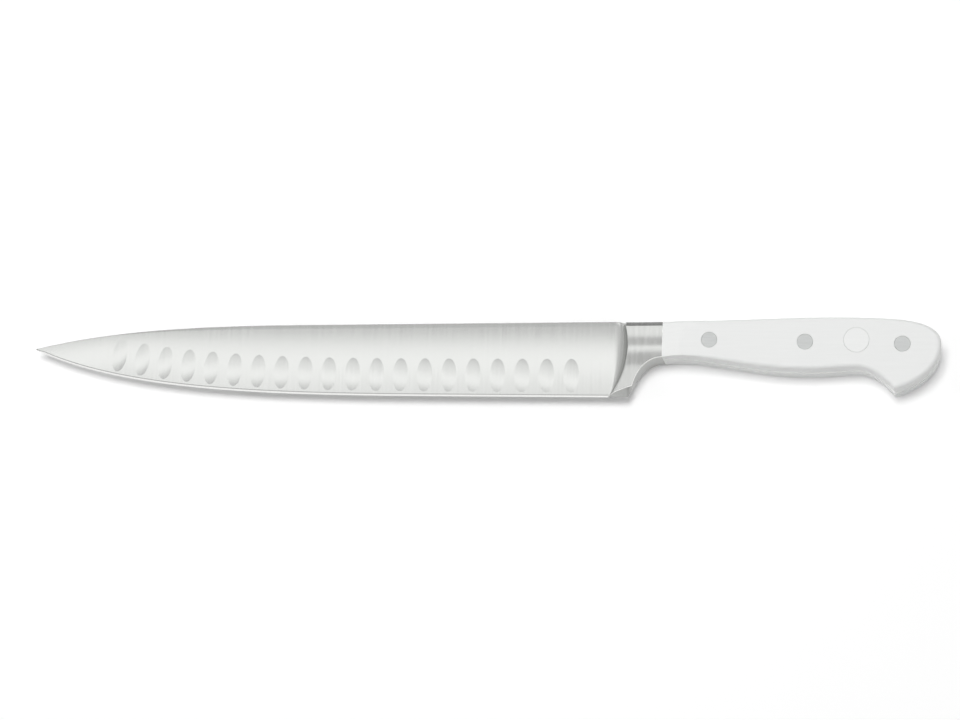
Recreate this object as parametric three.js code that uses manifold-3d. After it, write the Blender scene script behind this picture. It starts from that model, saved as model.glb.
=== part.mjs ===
// A slicing knife for ham: a hollow-ground blade, its bolster and its tang forged in one piece,
// with two plastic scales held by three two-part rivets.
// Millimetres. The knife lies on its right side: +X runs to the butt, +Y to the spine, and +Z out
// of the left side. While it is being built, x = 0 is the joint between bolster and scales, and
// z = 0 is the middle of the blade. At the end it is moved to stand on z = 0, centred on the origin.
import * as THREE from 'three';
import { mergeVertices } from 'three/addons/utils/BufferGeometryUtils.js';
import Module from 'manifold-3d';

// Blade
const bladeLength = 228.5;        // heel to tip
const heelToJoint = 20.8;         // heel to the front of the scales
const spineHeight = 14.5;         // spine above the blade's middle line, at the heel
const edgeDepth = 14.35;          // edge below the blade's middle line, at the heel
const spineSlope = 0.0066;        // the spine falls this much for each millimetre towards the tip
const edgeSlope = 0.0039;         // the edge rises this much for each millimetre towards the tip
const spineBend = 129.5;          // tip to where the spine starts to curve down
const edgeBend = 169.5;           // tip to where the edge starts to curve up
const spineBendReach = 38.7;      // how far the straight spine's direction carries into the curve
const edgeBendReach = 64.7;
const tipReach = 40;              // how far the tip's direction carries back into both curves
const spineTipSlope = 0.243;
const edgeTipSlope = 0.44;
const tipHeight = 4.15;           // tip above the middle line
const tipBlunt = 0.5;             // the tip is left this high, so that it isn't a needle
const spineThickness = 2.3;       // at the heel
const tipThickness = 1.1;         // spine thickness at the tip
const edgeThickness = 0.4;        // behind the sharpened bevel
const bevelHeight = 0.75;         // height of the sharpened bevel
const tipBevelShare = 0.4;        // share of the height that the bevel takes up close to the tip
const grindCurve = 1.8;           // 1 is a flat grind, more is a fuller, rounder one

// Hollows ground in both faces, one row a side, half a pitch apart
const hollowPitch = 9.45;
const hollowLength = 12.9;
const hollowWidth = 6.0;
const hollowDepth = 0.3;
const hollowToEdge = 1.7;         // lower end of a hollow to the edge
const hollowLean = 0.7;           // share of the edge's slope that a hollow leans by
const firstHollow = 14.1;         // heel to the middle of the first hollow on the left face
const hollowsEnd = 34;            // no hollow's middle is closer to the tip than this

// Bolster and finger guard
const bolsterThickness = 14.2;    // at the joint, where it is thickest
const bolsterTaper = 0.5;         // each cheek falls this much from the joint to the crest
const crownRadius = 30;           // the cheeks are rounded from top to bottom
const crownHeight = 4.5;          // the highest line of the crown above the middle line
const crestSetback = 12.95;       // joint to the crest, where the cheek turns down to the blade
const crestRadius = 27;           // the crest is an arc seen from the side
const bolsterTop = 13.5;          // top of bolster and scales above the middle line, at the joint
const backDipStart = 18.5;        // joint to where the back starts to dip from the spine to the bolster
const backBevel = 1.3;            // the bolster's back is bevelled from this far below its top
const backBevelDepth = 0.85;      // how far the bevel falls towards the middle plane, at the joint
const guardTop = -0.3;            // underside of bolster and scales at the joint
const guardReach = 4.9;           // how flat the finger guard's arc arrives at the joint
const footRear = { x: -11.4, y: -10.4, lean: 1.2, reach: 3.9 };
const footFront = { x: -18.0, y: -12.5 };
const filletSweep = THREE.MathUtils.degToRad(78);

// Tang and scales; before and after say how far a curve keeps a point's direction on either side
const tangThickness = 3.0;
const handleThickness = 17.2;
const handleLength = 102.3;
const gripStart = { before: 14, rise: 1.9 };                        // the belly first rises a little
const belly = { toButt: 48.3, y: -5.15, before: 24, after: 8 };     // lowest point of the grip
const waist = { toButt: 30.3, y: -4.35, before: 6, after: 5 };      // hollow of the grip before the beak
const beak = { toButt: 16.8, y: -12.5, before: 6, after: 9 };       // corner that stops the hand
const beakFrontAngle = THREE.MathUtils.degToRad(50);
const beakRearAngle = THREE.MathUtils.degToRad(15);
const butt = { y: 4.5, before: 8.5, after: 5 };                     // rearmost point
const shoulder = { toButt: 14.3, y: 13.6, before: 9.5, after: 8 };  // where the back turns down
const shoulderAngle = THREE.MathUtils.degToRad(6.5);
const handleCrown = { toButt: 42.3, y: 14.6, before: 10, after: 16 }; // highest point of the back
const backStart = { before: 22, fall: 0.5 };                        // the back first falls a little
const edgeRound = 1.8;                        // rounding of the scales' edges, across the cheek
const edgeRoundDepth = 2.6;                   // the same, into the thickness
const rampLength = 6.2;                       // the scales swell from the bolster to full thickness
const buriedLength = 2.8;                     // the tang's root inside the bolster

// Rivets and inlay
const rivetFirst = { x: 17.7, y: 5.9 };
const rivetLast = { x: handleLength - 14.0, y: 4.3 };
const rivetNames = ['front', 'middle', 'rear'];
const rivetHeadDiameter = 5.8;
const rivetHeadThickness = 1.6;
const sleeveDiameter = 4.4;
const pinDiameter = 2.8;
const sleeveFloor = 1.0;          // thickness left at the closed end of the sleeve's bore, past the head
const rivetGap = 0.05;            // radial gap round heads, sleeves and pins
const pinEndGap = 0.5;            // the pin stops this far from the end of the bore
const inlayCentre = { x: handleLength - 30.6, y: 5.75 };
const inlayDiameter = 9.2;
const inlayThickness = 1.4;
const inlayGap = 0.05;

// Fineness of curves
const bladeSteps = 15;
const faceSteps = 4;
const dishRings = [0, 0.4, 0.75, 1.05, 1.35]; // in half widths; a hollow's rim is at 1
const hollowSides = 16;
const roundSides = 24;
const outlineSteps = 9;
const guardSteps = 7;
const cheekSteps = 4;
const filletSteps = 6;
const roundSteps = 3;
const barSides = 120;
const curveHalvings = 40;          // how often a search along a curve halves its range
const weldDistance = 1e-5;         // corners closer than this are one

// Lengths that follow from those above
const heelX = -heelToJoint;
const tipX = heelX - bladeLength;
const tangHalf = tangThickness / 2;
const cheek = handleThickness / 2;
const bolsterHalf = bolsterThickness / 2;
const rivetHeadSeat = cheek - rivetHeadThickness;
const bladeRoot = -crestSetback;
const largeSize = 1000;

const wasm = await Module();
wasm.setup();

// Closed three.js geometry to a solid that can be joined and cut
function solidOf(geometry) {
  const bare = geometry.clone();
  bare.deleteAttribute('normal');
  bare.deleteAttribute('uv');
  const merged = mergeVertices(bare, weldDistance);
  const corners = merged.index.array;
  const kept = [];
  for (let i = 0; i < corners.length; i += 3) {
    const [a, b, c] = corners.slice(i, i + 3);
    if (a !== b && b !== c && c !== a) kept.push(a, b, c);
  }
  const mesh = new wasm.Mesh({
    numProp: 3,
    vertProperties: new Float32Array(merged.attributes.position.array),
    triVerts: new Uint32Array(kept),
  });
  return new wasm.Manifold(mesh);
}

function geometryOf(solid) {
  const mesh = solid.getMesh();
  const geometry = new THREE.BufferGeometry();
  geometry.setAttribute('position', new THREE.BufferAttribute(new Float32Array(mesh.vertProperties), 3));
  geometry.setIndex(new THREE.BufferAttribute(new Uint32Array(mesh.triVerts), 1));
  return geometry;
}

// Same shape on the other side of the blade
function mirrored(geometry) {
  const copy = geometry.clone().applyMatrix4(new THREE.Matrix4().makeScale(1, 1, -1));
  const corners = copy.index.array;
  for (let i = 0; i < corners.length; i += 3) {
    [corners[i], corners[i + 1]] = [corners[i + 1], corners[i]];
  }
  return copy;
}

function boxBetween(low, high) {
  const box = new THREE.BoxGeometry(high.x - low.x, high.y - low.y, high.z - low.z);
  return box.translate((low.x + high.x) / 2, (low.y + high.y) / 2, (low.z + high.z) / 2);
}

// Closed body through a row of rings with the same number of points; the ends are flat.
// flatten gives a point's place as seen by someone who looks at the last ring from outside.
function loft(rows, flatten) {
  const clockwise = THREE.ShapeUtils.isClockWise(rows[0].map(flatten));
  const rings = clockwise ? rows.map((row) => [...row].reverse()) : rows;
  const size = rings[0].length;
  const positions = rings.flat().flatMap((point) => [point.x, point.y, point.z]);
  const corners = [];
  for (let ring = 0; ring < rings.length - 1; ring += 1) {
    for (let i = 0; i < size; i += 1) {
      const a = ring * size + i;
      const b = ring * size + ((i + 1) % size);
      corners.push(a, b, b + size, a, b + size, a + size);
    }
  }
  const lastStart = (rings.length - 1) * size;
  const firstEnd = THREE.ShapeUtils.triangulateShape(rings[0].map(flatten), []);
  const lastEnd = THREE.ShapeUtils.triangulateShape(rings.at(-1).map(flatten), []);
  for (const [a, b, c] of firstEnd) corners.push(c, b, a);
  for (const [a, b, c] of lastEnd) corners.push(lastStart + a, lastStart + b, lastStart + c);
  const geometry = new THREE.BufferGeometry();
  geometry.setAttribute('position', new THREE.Float32BufferAttribute(positions, 3));
  geometry.setIndex(corners);
  return geometry;
}

// The point of a curve that runs steadily along one axis, where that coordinate has a given value
function pointWhere(curve, axis, value) {
  const rising = curve.getPoint(1)[axis] > curve.getPoint(0)[axis];
  let low = 0;
  let high = 1;
  for (let i = 0; i < curveHalvings; i += 1) {
    const middle = (low + high) / 2;
    if (curve.getPoint(middle)[axis] < value === rising) low = middle;
    else high = middle;
  }
  return curve.getPoint((low + high) / 2);
}

// Turned body about the z axis, from [radius, height] pairs
function turned(profile, sides) {
  const points = profile.map(([radius, height]) => new THREE.Vector2(radius, height));
  return new THREE.LatheGeometry(points, sides).rotateX(Math.PI / 2);
}

// Blade outline: straight from the heel, then curved to the tip
function bladeCurve(heelY, slope, bend, bendReach, tipY, tipSlope) {
  const start = new THREE.Vector2(heelX, heelY);
  const straight = bladeLength - bend;
  const turn = new THREE.Vector2(heelX - straight, heelY + slope * straight);
  const leave = new THREE.Vector2(turn.x - bendReach, turn.y + slope * bendReach);
  const arrive = new THREE.Vector2(tipX + tipReach, tipY + tipSlope * tipReach);
  const path = new THREE.CurvePath();
  path.add(new THREE.LineCurve(start, turn));
  path.add(new THREE.CubicBezierCurve(turn, leave, arrive, new THREE.Vector2(tipX, tipY)));
  return path;
}

const spineCurve = bladeCurve(
  spineHeight, -spineSlope, spineBend, spineBendReach, tipHeight + tipBlunt / 2, spineTipSlope,
);
const edgeCurve = bladeCurve(
  -edgeDepth, edgeSlope, edgeBend, edgeBendReach, tipHeight - tipBlunt / 2, -edgeTipSlope,
);

// Spine, top of the bevel, edge and half thicknesses of the blade at a distance along it
function bladeSection(x) {
  const spine = pointWhere(spineCurve, 'x', x).y;
  const edge = pointWhere(edgeCurve, 'x', x).y;
  const bevel = edge + Math.min(bevelHeight, (spine - edge) * tipBevelShare);
  const along = (heelX - x) / bladeLength;
  const spineHalf = THREE.MathUtils.lerp(spineThickness, tipThickness, along) / 2;
  return { x, spine, edge, bevel, spineHalf, edgeHalf: edgeThickness / 2 };
}

function bladeHalfAt(section, y) {
  const down = THREE.MathUtils.clamp((section.spine - y) / (section.spine - section.bevel), 0, 1);
  return section.edgeHalf + (section.spineHalf - section.edgeHalf) * (1 - down ** grindCurve);
}

function bladeRing(section) {
  const face = [];
  for (let i = 0; i <= faceSteps; i += 1) {
    const y = THREE.MathUtils.lerp(section.spine, section.bevel, i / faceSteps);
    face.push(new THREE.Vector3(section.x, y, bladeHalfAt(section, y)));
  }
  const otherFace = face.map((point) => new THREE.Vector3(point.x, point.y, -point.z)).reverse();
  return [...face, new THREE.Vector3(section.x, section.edge, 0), ...otherFace];
}

// The blade reaches back into the bolster, and below the bolster's foot it ends as a keel
function bladeBlank() {
  const heel = bladeSection(heelX);
  const root = { ...heel, x: bladeRoot, spine: bolsterTop - backBevel };
  const rings = [bladeRing(root), bladeRing(heel)];
  const curveStart = tipX + Math.max(spineBend, edgeBend);
  for (let i = 0; i <= bladeSteps; i += 1) {
    const x = THREE.MathUtils.lerp(curveStart, tipX, i / bladeSteps);
    rings.push(bladeRing(bladeSection(x)));
  }
  return loft(rings, (point) => new THREE.Vector2(point.z, point.y));
}

// One hollow: a shallow dish with an oval rim, which stands on the edge and leans where the edge climbs
function hollowCutter(x, side) {
  const section = bladeSection(x);
  const reach = hollowLength / 2;
  const centre = section.edge + hollowToEdge + reach;
  const ends = [x - hollowWidth / 2, x + hollowWidth / 2].map((end) => bladeSection(end).edge);
  const slope = Math.atan2(ends[1] - ends[0], hollowWidth);
  const half = bladeHalfAt(section, centre);
  const rise = bladeHalfAt(section, centre + reach) - bladeHalfAt(section, centre - reach);
  const dish = dishRings.map((radius) => [radius, hollowDepth * (radius ** 2 - 1)]);
  const lid = [0, dish.at(-1)[1]];
  const cutter = turned([...dish, lid], hollowSides);
  cutter.scale(hollowWidth / 2, reach, 1);
  cutter.rotateX(Math.atan2(rise, hollowLength));
  cutter.rotateZ(slope * hollowLean);
  cutter.translate(x, centre, half);
  return side > 0 ? cutter : mirrored(cutter);
}

// Bolster: sections stacked from the foot of the finger guard up to the spine
const guardCurve = new THREE.CubicBezierCurve(
  new THREE.Vector2(footRear.x, footRear.y),
  new THREE.Vector2(footRear.x + footRear.lean, footRear.y + footRear.reach),
  new THREE.Vector2(footRear.x + guardReach, guardTop),
  new THREE.Vector2(0, guardTop),
);

function bolsterRear(y) {
  if (y >= guardTop) return 0;
  if (y >= footRear.y) return pointWhere(guardCurve, 'y', y).x;
  return THREE.MathUtils.mapLinear(y, footFront.y, footRear.y, footFront.x, footRear.x);
}

function crownedHalf(y) {
  return bolsterHalf - crownRadius + Math.sqrt(crownRadius ** 2 - (y - crownHeight) ** 2);
}

function crestX(y) {
  return -crestSetback - crestRadius + Math.sqrt(crestRadius ** 2 - (y - crownHeight) ** 2);
}

// The bolster's top is level up to the crest, and from there sections lean up to the spine
function leaning(x, y) {
  const share = Math.max(0, (y - guardTop) / (bolsterTop - guardTop));
  const dip = THREE.MathUtils.smoothstep(x, -backDipStart, -crestSetback);
  return y + share * (spineHeight - bolsterTop) * (1 - dip);
}

// Inset is how far the cheeks stand back at the joint; at the crest they do so half as much
function bolsterRing(y, inset) {
  const rear = bolsterRear(y);
  const rearHalf = crownedHalf(y) - inset;
  const crestHalf = rearHalf + inset / 2 - bolsterTaper;
  const crest = Math.min(crestX(y), rear - bolsterTaper);
  const buried = edgeThickness / 2;
  const radius = (crestHalf - buried) / (1 - Math.cos(filletSweep));
  const filletStart = crest - radius * Math.sin(filletSweep);
  const half = [new THREE.Vector3(rear, leaning(rear, y), rearHalf)];
  for (let i = filletSteps; i >= 0; i -= 1) {
    const angle = (filletSweep * i) / filletSteps;
    const x = filletStart + radius * Math.sin(angle);
    half.push(new THREE.Vector3(x, leaning(x, y), buried + radius * (1 - Math.cos(angle))));
  }
  const otherHalf = half.map((point) => new THREE.Vector3(point.x, point.y, -point.z)).reverse();
  return [...half, ...otherHalf];
}

function bolsterBlank() {
  const rings = [bolsterRing(footFront.y, 0)];
  for (const point of guardCurve.getPoints(guardSteps)) rings.push(bolsterRing(point.y, 0));
  const bevelStart = bolsterTop - backBevel;
  for (let i = 1; i <= cheekSteps; i += 1) {
    rings.push(bolsterRing(THREE.MathUtils.lerp(guardTop, bevelStart, i / cheekSteps), 0));
  }
  rings.push(bolsterRing(bolsterTop, backBevelDepth));
  return loft(rings, (point) => new THREE.Vector2(point.z, point.x));
}

// Side outline shared by tang and scales; it starts inside the bolster
function handleOutline() {
  const frontSlope = beak.before * Math.cos(beakFrontAngle);
  const frontRise = beak.before * Math.sin(beakFrontAngle);
  const rearRun = beak.after * Math.cos(beakRearAngle);
  const rearRise = beak.after * Math.sin(beakRearAngle);
  const shoulderDrop = Math.tan(shoulderAngle);
  const end = handleLength;
  const [bellyX, waistX, beakX, shoulderX, crownX] = [belly, waist, beak, shoulder, handleCrown]
    .map((point) => end - point.toButt);
  const shape = new THREE.Shape();
  shape.moveTo(-buriedLength, guardTop + buriedLength);
  shape.lineTo(0, guardTop);
  shape.bezierCurveTo(
    gripStart.before, guardTop + gripStart.rise, bellyX - belly.before, belly.y, bellyX, belly.y,
  );
  shape.bezierCurveTo(
    bellyX + belly.after, belly.y, waistX - waist.before, waist.y, waistX, waist.y,
  );
  shape.bezierCurveTo(
    waistX + waist.after, waist.y, beakX - frontSlope, beak.y + frontRise, beakX, beak.y,
  );
  shape.bezierCurveTo(beakX + rearRun, beak.y + rearRise, end, butt.y - butt.before, end, butt.y);
  shape.bezierCurveTo(
    end, butt.y + butt.after,
    shoulderX + shoulder.before, shoulder.y - shoulder.before * shoulderDrop, shoulderX, shoulder.y,
  );
  shape.bezierCurveTo(
    shoulderX - shoulder.after, shoulder.y + shoulder.after * shoulderDrop,
    crownX + handleCrown.before, handleCrown.y, crownX, handleCrown.y,
  );
  shape.bezierCurveTo(
    crownX - handleCrown.after, handleCrown.y, backStart.before, bolsterTop - backStart.fall, 0, bolsterTop,
  );
  shape.lineTo(-buriedLength, bolsterTop - buriedLength);
  return shape;
}

function tangBlank() {
  const options = { depth: tangThickness, bevelEnabled: false, curveSegments: outlineSteps };
  return new THREE.ExtrudeGeometry(handleOutline(), options).translate(0, 0, -tangHalf);
}

function rivetCentres() {
  return rivetNames.map((name, i) => {
    const share = i / (rivetNames.length - 1);
    return {
      name,
      x: THREE.MathUtils.lerp(rivetFirst.x, rivetLast.x, share),
      y: THREE.MathUtils.lerp(rivetFirst.y, rivetLast.y, share),
    };
  });
}

function roundCutter(centre, radius, low, high) {
  const profile = [[0, low], [radius, low], [radius, high], [0, high]];
  return solidOf(turned(profile, roundSides).translate(centre.x, centre.y, 0));
}

function forging() {
  let solid = solidOf(bladeBlank()).add(solidOf(bolsterBlank())).add(solidOf(tangBlank()));
  const lastHollow = tipX + hollowsEnd;
  for (const [start, side] of [[firstHollow, 1], [firstHollow + hollowPitch / 2, -1]]) {
    for (let x = heelX - start; x >= lastHollow; x -= hollowPitch) {
      solid = solid.subtract(solidOf(hollowCutter(x, side)));
    }
  }
  for (const centre of rivetCentres()) {
    const radius = sleeveDiameter / 2 + rivetGap;
    solid = solid.subtract(roundCutter(centre, radius, -handleThickness, handleThickness));
  }
  return geometryOf(solid);
}

// The scales swell from the bolster: a leaning round bar, whose top line climbs along the ramp, trims them
function rampBar() {
  const climb = Math.atan((cheek - bolsterHalf) / rampLength);
  const bar = new THREE.CylinderGeometry(crownRadius, crownRadius, largeSize, barSides);
  bar.rotateZ(Math.PI / 2);
  bar.translate(0, 0, -crownRadius);
  bar.rotateY(-climb);
  return bar.translate(0, crownHeight, bolsterHalf);
}

function leftScale(withInlay) {
  const options = {
    depth: handleThickness - 2 * edgeRoundDepth,
    bevelEnabled: true,
    bevelThickness: edgeRoundDepth,
    bevelSize: edgeRound,
    bevelOffset: -edgeRound,
    bevelSegments: roundSteps,
    curveSegments: outlineSteps,
  };
  const slab = new THREE.ExtrudeGeometry(handleOutline(), options);
  slab.translate(0, 0, edgeRoundDepth - cheek);
  const room = boxBetween(
    new THREE.Vector3(0, -largeSize, tangHalf),
    new THREE.Vector3(largeSize, largeSize, largeSize),
  );
  let solid = solidOf(slab).intersect(solidOf(room)).intersect(solidOf(rampBar()));
  for (const centre of rivetCentres()) {
    solid = solid.subtract(roundCutter(centre, sleeveDiameter / 2 + rivetGap, 0, handleThickness));
    solid = solid.subtract(
      roundCutter(centre, rivetHeadDiameter / 2 + rivetGap, rivetHeadSeat, handleThickness),
    );
  }
  if (withInlay) {
    const floor = cheek - inlayThickness;
    solid = solid.subtract(
      roundCutter(inlayCentre, inlayDiameter / 2 + inlayGap, floor, handleThickness),
    );
  }
  return geometryOf(solid);
}

// Sleeve: its head lies in the right cheek and its tube reaches up towards the left head
function rivetSleeve() {
  const head = rivetHeadDiameter / 2;
  const tube = sleeveDiameter / 2;
  const bore = pinDiameter / 2 + rivetGap;
  const boreEnd = -rivetHeadSeat + sleeveFloor;
  const tubeEnd = rivetHeadSeat - rivetGap;
  return turned([
    [0, -cheek], [head, -cheek], [head, -rivetHeadSeat], [tube, -rivetHeadSeat],
    [tube, tubeEnd], [bore, tubeEnd], [bore, boreEnd], [0, boreEnd],
  ], roundSides);
}

// Pin: its head lies in the left cheek and its shank is driven into the sleeve
function rivetPin() {
  const head = rivetHeadDiameter / 2;
  const shank = pinDiameter / 2;
  const shankEnd = -rivetHeadSeat + sleeveFloor + pinEndGap;
  return turned([
    [0, shankEnd], [shank, shankEnd], [shank, rivetHeadSeat],
    [head, rivetHeadSeat], [head, cheek], [0, cheek],
  ], roundSides);
}

function inlayDisc() {
  const radius = inlayDiameter / 2;
  const floor = cheek - inlayThickness;
  return turned([[0, floor], [radius, floor], [radius, cheek], [0, cheek]], roundSides);
}

const satinSteel = new THREE.MeshStandardMaterial({ color: '#c9cbca', roughness: 0.32, metalness: 1 });
const rivetSteel = new THREE.MeshStandardMaterial({ color: '#b9bcba', roughness: 0.4, metalness: 1 });
const whitePlastic = new THREE.MeshStandardMaterial({ color: '#eeefed', roughness: 0.35, metalness: 0 });

const knife = new THREE.Group();

function addPiece(name, geometry, material, place) {
  const mesh = new THREE.Mesh(geometry, material);
  mesh.name = name;
  if (place) mesh.position.set(place.x, place.y, 0);
  knife.add(mesh);
}

addPiece('blade_forging', forging(), satinSteel);
addPiece('left_scale', leftScale(true), whitePlastic);
addPiece('right_scale', mirrored(leftScale(false)), whitePlastic);
for (const centre of rivetCentres()) {
  addPiece(`${centre.name}_rivet_sleeve`, rivetSleeve(), rivetSteel, centre);
  addPiece(`${centre.name}_rivet_pin`, rivetPin(), rivetSteel, centre);
}
addPiece('inlay_disc', inlayDisc(), whitePlastic, inlayCentre);

// Stand the knife on its right cheek, centred over the origin
knife.updateMatrixWorld(true);
const extent = new THREE.Box3().setFromObject(knife);
knife.position.set(
  -(extent.min.x + extent.max.x) / 2,
  -(extent.min.y + extent.max.y) / 2,
  -extent.min.z,
);
knife.updateMatrixWorld(true);

export default knife;
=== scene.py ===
"""Looks of a ham slicing knife: a forged blade with bolster and tang, two white scales, three rivets
and a round inlay, lying on its right side on a pale floor.

Sizes are in millimetres, but those of floor and lamps in metres. While a piece is made, x = 0 is the
joint between bolster and scales, y = 0 the blade's middle line and z = 0 its middle plane, as in the
part's source; place() moves points to the frame's own places.
"""

import math
from collections import namedtuple

import bmesh
import bpy
import numpy as np
from mathutils import Matrix, Vector, geometry


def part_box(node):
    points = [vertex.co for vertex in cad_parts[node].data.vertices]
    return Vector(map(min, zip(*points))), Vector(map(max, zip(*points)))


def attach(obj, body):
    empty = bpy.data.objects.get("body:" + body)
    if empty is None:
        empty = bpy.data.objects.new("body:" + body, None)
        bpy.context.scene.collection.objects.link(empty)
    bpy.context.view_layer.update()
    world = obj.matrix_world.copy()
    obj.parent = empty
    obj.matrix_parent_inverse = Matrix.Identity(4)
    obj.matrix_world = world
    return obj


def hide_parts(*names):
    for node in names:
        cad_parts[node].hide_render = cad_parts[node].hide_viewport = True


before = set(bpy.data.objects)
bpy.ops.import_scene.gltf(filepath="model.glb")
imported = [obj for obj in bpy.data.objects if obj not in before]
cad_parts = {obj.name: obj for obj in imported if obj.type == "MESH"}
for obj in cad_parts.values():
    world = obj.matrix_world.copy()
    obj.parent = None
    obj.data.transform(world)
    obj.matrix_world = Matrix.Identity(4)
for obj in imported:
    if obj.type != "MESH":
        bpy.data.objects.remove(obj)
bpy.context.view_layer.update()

METRE = 1000                   # in millimetres
MICROMETRE = 1e-6              # in metres

# Blade
BLADE_LENGTH = 228.5           # heel to tip
HEEL_X = -20.8
TIP_X = HEEL_X - BLADE_LENGTH
SPINE_HEIGHT = 14.5            # above the middle line, at the heel
EDGE_DEPTH = 14.35             # below it
SPINE_SLOPE = 0.0066           # fall of the spine and rise of the edge, before they curve
EDGE_SLOPE = 0.0039
SPINE_BEND = 129.5             # tip to where the spine starts to curve
EDGE_BEND = 169.5
SPINE_BEND_REACH = 38.7        # how far the straight direction carries into the curve
EDGE_BEND_REACH = 64.7
TIP_REACH = 40.0               # how far the direction at the tip carries back into the curves
SPINE_TIP_SLOPE = 0.243
EDGE_TIP_SLOPE = 0.44
TIP_HEIGHT = 4.15
TIP_BLUNT = 0.5                # height of the tip's blunt end
SPINE_HALF = 1.15              # half thickness of the spine at the heel
TIP_HALF = 0.55                # what it would taper to at the tip if the faces stayed round
TIP_FLAT_LENGTH = 44.0         # over this length the faces flatten out towards the tip
EDGE_HALF = 0.24               # half thickness behind the sharpened edge
BEVEL_HEIGHT = 1.0             # height of the sharpened edge: a bevel, and a flatter relief above it
BEVEL_SHARE = 0.58             # the bevel's share of that height
BEVEL_HALF = 0.2               # half thickness between bevel and relief
TIP_BEVEL_SHARE = 0.4          # near the tip the sharpened edge takes up to this share of the height
GRIND_CURVE = 1.8              # 1 is a flat grind, more is a rounder one
SPINE_EASE = 0.15              # the spine's corners are broken this much
TIP_EASE_SHARE = 0.1           # but near the tip by no more than this share of the height

# Hollows in the faces of the blade
HOLLOW_PITCH = 9.45
HOLLOW_LENGTH = 12.9
HOLLOW_WIDTH = 6.0
HOLLOW_DEPTH = 0.21
HOLLOW_TO_EDGE = 1.7           # lower end of a hollow to the edge
HOLLOW_LEAN = 0.7              # share of the edge's slope that a hollow leans by
FIRST_HOLLOW = 14.1            # heel to the middle of the left face's first hollow
HOLLOWS_END = 34.0             # no hollow's middle is closer to the tip than this
BAND_MARGIN = 0.6              # room left round the row of hollows for its mesh
TIP_BAND = (0.05, 0.96)        # near the tip that mesh keeps between these shares of the face's height

# Bolster and finger guard
BOLSTER_HALF = 7.1             # half thickness at the joint, where it is thickest
BOLSTER_TAPER = 0.5            # each cheek falls this much from the joint to the crest
CROWN_RADIUS = 30.0            # the cheeks are rounded from top to bottom
CROWN_HEIGHT = 4.5             # highest line of that rounding, above the middle line
CREST_SETBACK = 12.95          # joint to the crest, where the cheek turns down to the blade
CREST_RADIUS = 27.0            # the crest is an arc, seen from the side
CREST_ROUND = 0.35             # length of the crest's rounding on either side of it
CREST_ROUND_SHARE = 0.3        # and at most this share of the step up from the blade
FILLET_SWEEP = math.radians(78)
BOLSTER_TOP = 13.5             # top of bolster and scales at the joint, above the middle line
BACK_DIP_START = -18.5         # from here to the crest the back dips from the spine to the bolster's top
TOP_CHAMFER = 1.65             # the bolster's back is bevelled this far down
TOP_STEEPNESS = (0.6, 0.8)     # how steeply the bevel falls, at its lower and its upper edge
GUARD_TOP = -0.3               # underside of bolster and scales at the joint
GUARD_REACH = 4.9              # how flat the finger guard's arc arrives at the joint
GUARD_EASE = 0.22              # broken edge along the finger guard
GUARD_EASE_SHARE = 0.8         # and at most this share of the half thickness there
FOOT_FRONT = (-18.0, -12.5)    # corners of the foot, the lowest part of the bolster
FOOT_REAR = (-11.4, -10.4)
FOOT_LEAN = (1.2, 3.9)         # direction in which the finger guard leaves the foot
KEEL_END = -13.2               # the blade's edge carries on to here as a keel below the foot
KEEL_HALF = 0.25               # half width of the keel's flat underside

# Tang and scales
TANG_HALF = 1.5
CHEEK = 8.6                    # the scales' flat cheeks, from the middle plane
HANDLE_LENGTH = 102.3          # joint to butt
Turn = namedtuple("Turn", "x y before after")   # before and after: how far a curve keeps its direction
GRIP_START = (14.0, 1.9)       # the belly first heads this way from the joint
BELLY = Turn(HANDLE_LENGTH - 48.3, -5.15, 24.0, 8.0)
WAIST = Turn(HANDLE_LENGTH - 30.3, -4.35, 6.0, 5.0)
BEAK = Turn(HANDLE_LENGTH - 16.8, -12.5, 6.0, 9.0)
BEAK_FRONT_ANGLE = math.radians(50)
BEAK_REAR_ANGLE = math.radians(15)
BEAK_ROUND = 0.5               # the beak's corner is cut short by this on either side, and rounded
BUTT = Turn(HANDLE_LENGTH, 4.5, 8.5, 5.0)
SHOULDER = Turn(HANDLE_LENGTH - 14.3, 13.6, 9.5, 8.0)
SHOULDER_ANGLE = math.radians(6.5)
HANDLE_CROWN = Turn(HANDLE_LENGTH - 42.3, 14.6, 10.0, 16.0)
BACK_START = (22.0, -0.5)      # the back first heads this way from the joint
EDGE_ROUND = 1.5               # rounding of the scales' edges, across the cheek
EDGE_ROUND_DEPTH = 1.9         # the same, into the thickness
FLARE_LENGTH = 26.0            # the scales' edges take over from the bolster's along this length
RAMP_LENGTH = 6.2              # the scales swell from the bolster to full thickness
RAMP_SOFTNESS = 0.1            # ramp and cheek run into each other over twice this height

# Rivets and inlay
FRONT_RIVET = (17.7, 5.9)
REAR_RIVET = (HANDLE_LENGTH - 14.0, 4.3)
MIDDLE_RIVET = tuple(np.add(FRONT_RIVET, REAR_RIVET) / 2)
RIVETS = {"front": FRONT_RIVET, "middle": MIDDLE_RIVET, "rear": REAR_RIVET}
HEAD_RADIUS = 2.9
HEAD_SEAT = 7.0                # underside of a head, from the middle plane
SLEEVE_RADIUS = 2.2
PIN_RADIUS = 1.4
PRESS_GAP = 0.05               # round heads, sleeves, pins and inlay
HOLE_RADIUS = SLEEVE_RADIUS + PRESS_GAP
HOLES = [(centre, HOLE_RADIUS) for centre in RIVETS.values()]      # through tang and scales
BORE_END = -6.0                # bottom of the sleeve's bore
PIN_END = -5.5                 # the pin stops short of it
INLAY_CENTRE = (HANDLE_LENGTH - 30.6, 5.75)
INLAY_RADIUS = 4.6
INLAY_FLOOR = 7.2              # underside of the inlay, from the middle plane
SMALL_EASE = 0.06              # broken edges of holes, heads and inlay

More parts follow.
